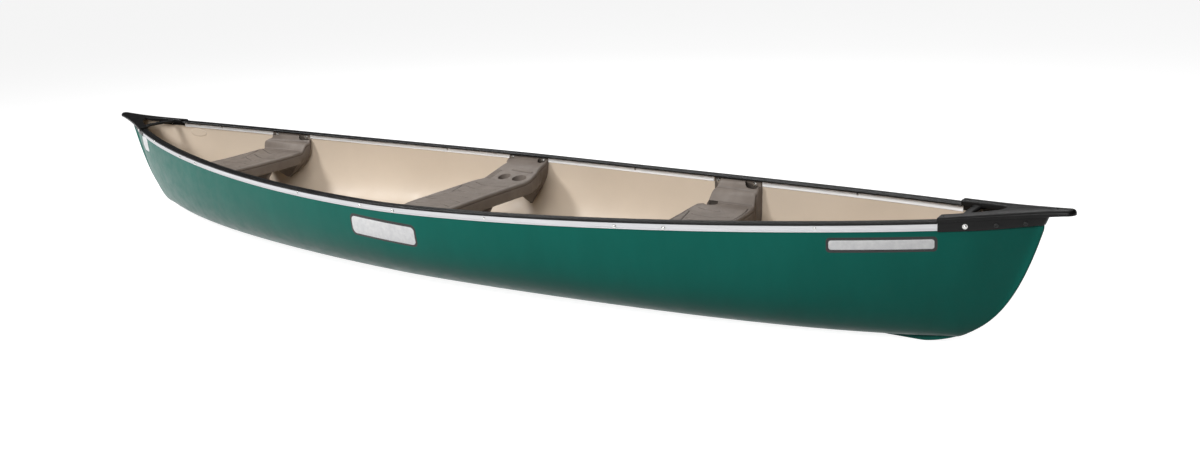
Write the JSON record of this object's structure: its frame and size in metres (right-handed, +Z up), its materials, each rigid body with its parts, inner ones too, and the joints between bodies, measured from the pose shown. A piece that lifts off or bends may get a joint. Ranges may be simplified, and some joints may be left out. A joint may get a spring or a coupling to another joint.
{
  "type": "canoe",
  "caption": "Open recreational canoe: a two-tone moulded hull, black-capped gunwales with metal strips, moulded bench seats and deck plates with carrying bars.",
  "frame": {"origin": "on the ground under the middle of the canoe, halfway between the tips of the two deck plates", "axes": "+X to the bow, +Y to port, +Z up"},
  "size_m": [4.72, 0.9336, 0.4783],
  "materials": {
    "hull": "satin green polyethylene outside, beige inside",
    "vinyl_cap": "satin black extruded vinyl with two fine ridges",
    "aluminium": "brushed bare extrusion",
    "seat_plastic": "fine-textured taupe blow-moulded plastic",
    "deck_plastic": "fine-textured black moulded plastic",
    "fastener_steel": "bright stainless",
    "plug_plastic": "black push-in plug"
  },
  "bodies": {
    "root": {"hull": "hull", "gunwale_cap_port": "vinyl_cap", "outer_strip_port": "aluminium", "inner_strip_stern_port": "aluminium", "inner_strip_aft_port": "aluminium", "inner_strip_fore_port": "aluminium", "inner_strip_bow_port": "aluminium", "strip_rivet_port_1": "fastener_steel", "strip_rivet_port_2": "fastener_steel", "strip_rivet_port_3": "fastener_steel", "strip_rivet_port_4": "fastener_steel", "gunwale_cap_starboard": "vinyl_cap", "outer_strip_starboard": "aluminium", "inner_strip_stern_starboard": "aluminium", "inner_strip_aft_starboard": "aluminium", "inner_strip_fore_starboard": "aluminium", "inner_strip_bow_starboard": "aluminium", "strip_rivet_starboard_1": "fastener_steel", "strip_rivet_starboard_2": "fastener_steel", "strip_rivet_starboard_3": "fastener_steel", "strip_rivet_starboard_4": "fastener_steel", "stern_seat": "seat_plastic", "stern_seat_bolt_port_aft": "fastener_steel", "stern_seat_bolt_port_fore": "fastener_steel", "stern_seat_bolt_starboard_aft": "fastener_steel", "stern_seat_bolt_starboard_fore": "fastener_steel", "middle_seat": "seat_plastic", "middle_seat_bolt_port_aft": "fastener_steel", "middle_seat_bolt_port_fore": "fastener_steel", "middle_seat_bolt_starboard_aft": "fastener_steel", "middle_seat_bolt_starboard_fore": "fastener_steel", "bow_seat": "seat_plastic", "bow_seat_bolt_port_aft": "fastener_steel", "bow_seat_bolt_port_fore": "fastener_steel", "bow_seat_bolt_starboard_aft": "fastener_steel", "bow_seat_bolt_starboard_fore": "fastener_steel", "bow_deck_plate": "deck_plastic", "bow_deck_bolt_port": "fastener_steel", "bow_deck_plug_port_1": "plug_plastic", "bow_deck_plug_port_2": "plug_plastic", "bow_deck_bolt_starboard": "fastener_steel", "bow_deck_plug_starboard_1": "plug_plastic", "bow_deck_plug_starboard_2": "plug_plastic", "stern_deck_plate": "deck_plastic", "stern_deck_bolt_port": "fastener_steel", "stern_deck_plug_port_1": "plug_plastic", "stern_deck_plug_port_2": "plug_plastic", "stern_deck_bolt_starboard": "fastener_steel", "stern_deck_plug_starboard_1": "plug_plastic", "stern_deck_plug_starboard_2": "plug_plastic"}
  },
  "joints": []
}
